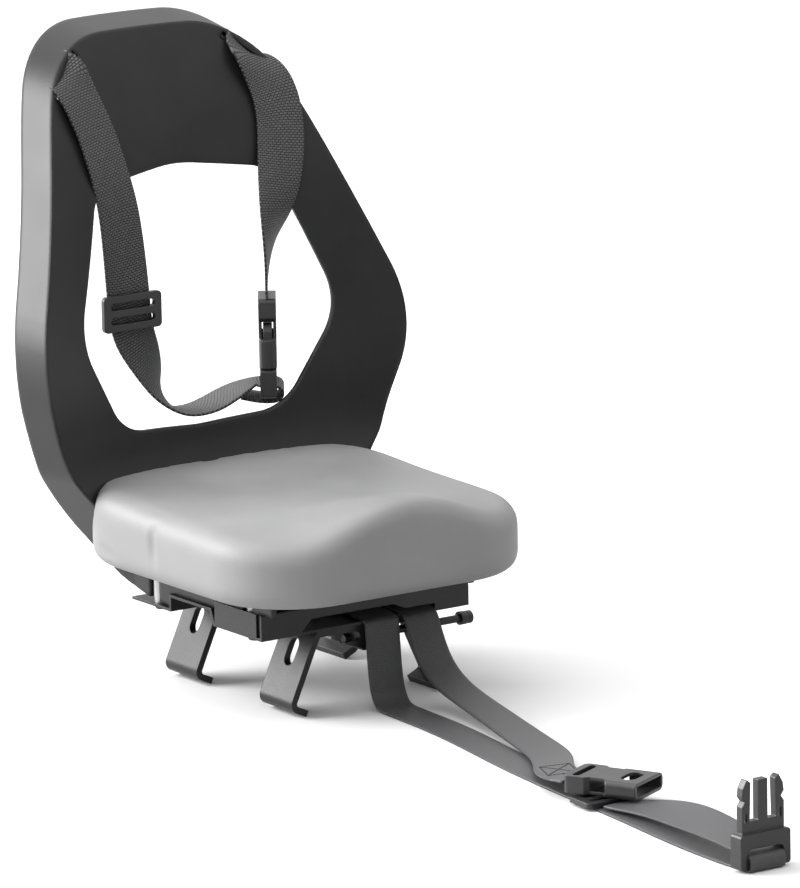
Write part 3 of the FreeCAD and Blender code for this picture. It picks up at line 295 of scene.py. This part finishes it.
def tape(name, stations, width, material):
    """Tape pulled along stations, each a centre and the direction in which it lies flat, in millimetres."""
    strip = bmesh.new()
    across = strip.loops.layers.uv.new("tape")
    centres = [Vector(centre) * 0.001 for centre, _ in stations]
    rows = []
    walked = [0.0]
    for index, (centre, (_, flat)) in enumerate(zip(centres, stations)):
        run = (centres[min(index + 1, len(centres) - 1)] - centres[max(index - 1, 0)]).normalized()
        wide = Vector(flat)
        wide = (wide - run * wide.dot(run)).normalized() * width / 2
        if index:
            walked.append(walked[-1] + (centre - centres[index - 1]).length)
            grown = bmesh.ops.extrude_edge_only(strip, edges=[rows[-1][2]])["geom"]
            ends = [item for item in grown if isinstance(item, bmesh.types.BMVert)]
            ends.sort(key=lambda item: (item.co - rows[-1][0].co).length)
        else:
            ends = [strip.verts.new(), strip.verts.new()]
            strip.edges.new(ends)
        ends[0].co, ends[1].co = centre - wide, centre + wide
        rows.append((ends[0], ends[1], strip.edges.get(ends)))
    spots = {}
    for (left, right, _), length in zip(rows, walked):
        spots[left] = (0.0, length)
        spots[right] = (width, length)
    for face in strip.faces:
        face.smooth = True
        for loop in face.loops:
            loop[across].uv = spots[loop.vert]
    mesh = bpy.data.meshes.new(name)
    strip.to_mesh(mesh)
    strip.free()
    piece = bpy.data.objects.new(name, mesh)
    bpy.context.collection.objects.link(piece)
    smooth = piece.modifiers.new("drape", "SUBSURF")
    smooth.levels = smooth.render_levels = 4
    smooth.boundary_smooth = "PRESERVE_CORNERS"
    thick = piece.modifiers.new("thickness", "SOLIDIFY")
    thick.thickness = tape_thick
    thick.offset = 0
    mesh.materials.append(material)
    return piece, walked[-1]


def ribbed_tape(name, dark, pale, pitch, dash, depth, gloss):
    """Woven tape: rows of short raised dashes across it, each row shifted by half a dash."""
    material = bpy.data.materials.new(name)
    material.use_nodes = True
    tree = material.node_tree
    shader = tree.nodes["Principled BSDF"]
    shader.inputs["Sheen Weight"].default_value = 0.04
    shader.inputs["Specular IOR Level"].default_value = 0.35
    shader.inputs["Roughness"].default_value = gloss
    place = add_node(tree, "UVMap", uv_map="tape")
    rows = add_node(tree, "TexBrick", [("Vector", place.outputs["UV"]), ("Scale", 1.0),
                                       ("Mortar Size", pitch * 0.32), ("Mortar Smooth", 1.0),
                                       ("Brick Width", dash), ("Row Height", pitch)])
    rows.inputs["Color1"].default_value = (*pale, 1)
    rows.inputs["Color2"].default_value = (*[0.8 * value for value in pale], 1)
    rows.inputs["Mortar"].default_value = (*dark, 1)
    fuzz = add_node(tree, "TexNoise", [("Vector", place.outputs["UV"]), ("Scale", 900.0), ("Detail", 2.0)])
    tint = add_node(tree, "MapRange", [("Value", fuzz.outputs["Fac"]), ("To Min", 0.75), ("To Max", 1.2)])
    body = add_node(tree, "Mix", [("Factor", 1.0), (6, rows.outputs["Color"]), (7, tint.outputs["Result"])],
                    data_type="RGBA", blend_type="MULTIPLY")
    raised = add_node(tree, "Math", [(0, 1.0), (1, rows.outputs["Fac"])], operation="SUBTRACT")
    bump = add_node(tree, "Bump", [("Height", raised.outputs["Value"]), ("Strength", 0.8),
                                   ("Distance", depth)])
    tree.links.new(body.outputs[2], shader.inputs["Base Color"])
    tree.links.new(bump.outputs["Normal"], shader.inputs["Normal"])
    return material


chest_weave = ribbed_tape("chest tape weave", dark=(0.002, 0.002, 0.002), pale=(0.070, 0.070, 0.072),
                          pitch=0.0020, dash=0.0034, depth=0.0009, gloss=0.60)
buckle_flat = (0.555, 0.832, 0)


def slot_tail(side):
    """Stations of the tape's tail behind the panel, up behind the bar and over it to the slot."""
    flat = (0.65, -0.46 * side, -0.60 * side)
    places = [(56.1, 194.4, 428.1), (71.0, 194.4, 444.2), (79.7, 193.8, 452.5), (84.4, 191.2, 455.4),
              (84.8, 187.3, 456.4)]
    return [((side * across, deep, upward), flat) for across, deep, upward in places]


right_chest, right_chest_length = tape("right_chest_tape", [
    *slot_tail(-1), ((-82, 181.6, 453), (0.65, 0.46, 0.60)), ((-82, 177.8, 452), (0.65, 0.46, 0.60)),
    ((-78, 169.5, 438), (0.85, 0.40, 0.40)), ((-70, 160.1, 412), (1, 0.24, 0.10)),
    ((-65, 147.9, 376), (1, 0.20, 0)), ((-57, 149, 345), (1, 0.10, 0)),
    ((-52, 149, 288.8), (1, 0, 0)), ((-50, 149, 255.2), (1, 0, 0)),
    ((-38, 149, 235), (1, 0.30, 0)), ((-29, 149, 214), (0.80, 0.60, 0)), ((-23, 149, 201), (0.50, 0.85, 0)),
    ((-14, 149, 190.5), (0.20, 1, 0)), ((-2, 149, 186.5), (0, 1, 0)), ((16, 149, 187.5), (0, 1, 0)),
    ((38, 154, 193.5), (0.20, 1, 0)), ((60.5, 163, 198.3), buckle_flat), ((68.7, 157.5, 199.4), buckle_flat),
    ((77, 152, 199.4), buckle_flat), ((83.7, 147.5, 198.9), buckle_flat), ((86.6, 145.6, 195.1), buckle_flat),
    ((86.1, 145.9, 190.8), buckle_flat), ((82.8, 148.1, 187.3), buckle_flat), ((77, 152, 186.5), buckle_flat),
    ((68.7, 157.5, 187.5), buckle_flat), ((59, 164, 190.2), buckle_flat)], chest_tape_width, chest_weave)
left_chest, left_chest_length = tape("left_chest_tape", [
    *slot_tail(1), ((82, 181.6, 453), (0.65, -0.46, -0.60)), ((82, 177.8, 452), (0.65, -0.46, -0.60)),
    ((91, 166, 438), (0.85, -0.40, -0.40)), ((95, 153.6, 412), (1, -0.28, -0.10)),
    ((86, 141.6, 372), (1, -0.25, 0)), ((72, 128, 340), (0.97, 0.20, 0)),
    ((73, 140, 308), (0.65, 0.75, 0)), ((77, 152, 278.4), buckle_flat),
    ((77, 152, 268.4), buckle_flat)], chest_tape_width, chest_weave)
for piece, node, length in ((right_chest, "right_chest_strap", right_chest_length),
                            (left_chest, "left_chest_strap", left_chest_length)):
    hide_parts(node)
    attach(piece, "seat")

# The safety strap: two lengths of narrower grey tape, smoothly woven, that come out of the tray's front.
# They hang over the tray's edge and lie on the ground as far as their buckle.
safety_tape_width = 0.030
safety_weave = ribbed_tape("safety tape weave", dark=(0.018, 0.018, 0.019), pale=(0.058, 0.058, 0.061),
                           pitch=0.0011, dash=0.0022, depth=0.0002, gloss=0.45)
along = (1, 0, 0)
adjust_tape, adjust_length = tape("adjust_safety_tape", [
    ((12, -30, 68.1), along), ((12, -90.6, 68.1), along), ((12, -92.6, 65.1), along), ((12, -94.6, 30), along),
    ((12, -98.6, 10), along), ((11, -106.6, 2.5), along), ((10, -116.6, 0.9), along), ((8, -187.6, 0.9), along),
    ((-13, -297.6, 0.9), along), ((-21, -367.6, 0.9), along), ((-27, -427, 0.9), along),
    ((-31, -472, 0.9), along), ((-41, -547, 0.9), along), ((-44, -602, 0.9), along), ((-43, -632, 0.9), along),
    ((-43, -638.7, 0.9), along), ((-43, -640.2, 2.9), along), ((-43, -640.2, 9.4), along),
    ((-43, -638.2, 12), along), ((-43, -634, 12.4), along),
    ((-43, -620, 12.4), along), ((-39, -592, 15.4), (1, 0, 0.20)), ((-30, -537, 14.4), (1, 0, 0.45)),
    ((-23, -487, 9.4), (1, 0, 0.20)), ((-26, -458, 5.4), (1, 0, 0.05)), ((-27, -445, 4.3), along)],
    safety_tape_width, safety_weave)
socket_flat = (0.899, 0.438, 0)
fixed_tape, fixed_length = tape("fixed_safety_tape", [
    ((45, -30, 68.1), along), ((45, -90.6, 68.1), along), ((46, -94.6, 65.1), along), ((47, -101.6, 45), along),
    ((47, -112.6, 29), along), ((46, -137.6, 16), along), ((42, -187.6, 9), along),
    ((25, -262.6, 5), (1, 0, 0.04)),
    ((9, -317.6, 6), (1, 0, 0.08)), ((-27.1, -362.5, 11.5), along), ((-34.8, -392.9, 14.5), socket_flat),
    ((-33.1, -396.5, 14.5), socket_flat)], safety_tape_width, safety_weave)
for piece, node, length in ((adjust_tape, "safety_strap_adjust", adjust_length),
                            (fixed_tape, "safety_strap_fixed", fixed_length)):
    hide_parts(node)
    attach(piece, "seat")

# The sewing that closes the fixed tape's loop at the buckle: a box with a cross in it.
# It is thick black thread, sewn through both layers of the tape.
stitch_length, stitch_width, stitch_height = 0.0030, 0.0008, 0.0007
sewing_near, sewing_far = Vector((-0.0322, -0.3840)), Vector((-0.0150, -0.3490))
sewing_across = Vector((0.897, -0.443)) * 0.0110


def sew(thread, skin, start, end):
    """A row of stitches between two points seen from above, each lying on the tape."""
    count = round((end - start).length / stitch_length)
    for step in range(count):
        ends = []
        for share in (0.10, 0.90):
            spot = start.lerp(end, (step + share) / count)
            ends.append(skin.ray_cast(Vector((*spot, 0.1)), Vector((0, 0, -1))))
        if ends[0][0] and ends[1][0]:
            run = ends[1][0] - ends[0][0]
            up = ends[0][1]
            side = up.cross(run).normalized()
            turn = Matrix((run.normalized(), side, run.normalized().cross(side))).transposed().to_4x4()
            shape = Matrix.Diagonal((run.length, stitch_width, stitch_height, 1))
            middle = Matrix.Translation((ends[0][0] + ends[1][0]) / 2)
            bmesh.ops.create_cube(thread, size=1, matrix=middle @ turn @ shape)


thread = bmesh.new()
tape_skin = BVHTree.FromObject(fixed_tape, bpy.context.evaluated_depsgraph_get())
box = [sewing_near - sewing_across, sewing_near + sewing_across,
       sewing_far + sewing_across, sewing_far - sewing_across]
for start, end in ((0, 1), (1, 2), (2, 3), (3, 0), (0, 2), (1, 3)):
    sew(thread, tape_skin, box[start], box[end])
bmesh.ops.bevel(thread, geom=thread.edges, offset=0.0002, segments=2, profile=0.5, affect="EDGES",
                material=-1)
thread_mesh = bpy.data.meshes.new("safety_strap_sewing")
thread.to_mesh(thread_mesh)
thread.free()
sewing_thread = hard_finish("black sewing thread", dark=(0.004, 0.004, 0.004), pale=(0.010, 0.010, 0.010),
                            worn=(0.020, 0.020, 0.020), gloss=(0.60, 0.75), grain_size=0.0004,
                            grain_depth=0.0001, edge=0.0003, wear=0.2, blotch=0.004, shine_level=0.30)
thread_mesh.materials.append(sewing_thread)
sewing = bpy.data.objects.new("safety_strap_sewing", thread_mesh)
bpy.context.collection.objects.link(sewing)
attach(sewing, "seat")

# The studio: a pale plain floor, soft light from the upper left and a long lens at the photograph's angle.
# None of it belongs to the seat.
ground = bmesh.new()
bmesh.ops.create_grid(ground, x_segments=1, y_segments=1, size=20)
floor_mesh = bpy.data.meshes.new("floor")
ground.to_mesh(floor_mesh)
ground.free()
floor = bpy.data.objects.new("floor", floor_mesh)
bpy.context.collection.objects.link(floor)
paper = bpy.data.materials.new("pale paper")
paper.use_nodes = True
paper_place = add_node(paper.node_tree, "TexCoord")
paper_grain = add_node(paper.node_tree, "TexNoise", [("Vector", paper_place.outputs["Object"]),
                                                     ("Scale", 0.5)])
paper_tone = add_node(paper.node_tree, "MapRange", [("Value", paper_grain.outputs["Fac"]), ("To Min", 0.52),
                                                    ("To Max", 0.56)])
paper_shader = paper.node_tree.nodes["Principled BSDF"]
paper.node_tree.links.new(paper_tone.outputs["Result"], paper_shader.inputs["Base Color"])
paper_shader.inputs["Roughness"].default_value = 0.9
floor_mesh.materials.append(paper)

world = bpy.data.worlds.new("studio")
world.use_nodes = True
sky = world.node_tree
toward = add_node(sky, "TexCoord")
parts = add_node(sky, "SeparateXYZ", [("Vector", toward.outputs["Generated"])])
sky_level, sky_overhead, sky_behind = 0.42, 1.90, 0.18
above = add_node(sky, "Math", [(0, parts.outputs["Z"]), (1, sky_overhead), (2, sky_level)],
                 operation="MULTIPLY_ADD")
behind = add_node(sky, "Math", [(0, parts.outputs["Y"]), (1, sky_behind), (2, above.outputs["Value"])],
                  operation="MULTIPLY_ADD")
sky.nodes["Background"].inputs["Color"].default_value = (1, 1, 1, 1)
sky.links.new(behind.outputs["Value"], sky.nodes["Background"].inputs["Strength"])
bpy.context.scene.world = world
bpy.context.scene.view_settings.view_transform = "Standard"


def soft_light(name, place, target, width, power):
    lamp = bpy.data.lights.new(name, "AREA")
    lamp.shape = "DISK"
    lamp.size = width
    lamp.energy = power
    holder = bpy.data.objects.new(name, lamp)
    bpy.context.collection.objects.link(holder)
    holder.location = place
    holder.rotation_euler = (Vector(target) - Vector(place)).to_track_quat("-Z", "Y").to_euler()


soft_light("top", (-0.5, 0.3, 2.6), target=(0, 0, 0.2), width=1.8, power=24)
soft_light("side", (-2.4, 1.9, 1.6), target=(0, 0, 0.35), width=2.8, power=330)

image_width, image_height = 800, 888
camera_turn, camera_rise, camera_roll = (math.radians(angle) for angle in (-33.73, 11.78, -1.2))
camera_distance = 6.0
pixel_size = 0.000752
pixel_focus = camera_distance / pixel_size
aim = Vector((0, 0, 0.2535))
aim_pixel = (294.46, 357.01)
back = Vector((math.sin(camera_turn) * math.cos(camera_rise),
               -math.cos(camera_turn) * math.cos(camera_rise), math.sin(camera_rise)))
level = Vector((math.cos(camera_turn), math.sin(camera_turn), 0))
rise = back.cross(level)
right = level * math.cos(camera_roll) + rise * math.sin(camera_roll)
upward = rise * math.cos(camera_roll) - level * math.sin(camera_roll)
off_middle = right * (image_width / 2 - aim_pixel[0]) - upward * (image_height / 2 - aim_pixel[1])
middle = off_middle / pixel_focus - back
look = -middle.normalized()
right = (right - look * right.dot(look)).normalized()
upward = look.cross(right)
lens = bpy.data.cameras.new("long lens")
lens.lens = pixel_focus * lens.sensor_width / image_height
lens.clip_end = 50
camera = bpy.data.objects.new("camera", lens)
bpy.context.collection.objects.link(camera)
camera_axes = Matrix((right, upward, look)).transposed().to_4x4()
camera.matrix_world = Matrix.Translation(aim + back * camera_distance) @ camera_axes
bpy.context.scene.camera = camera
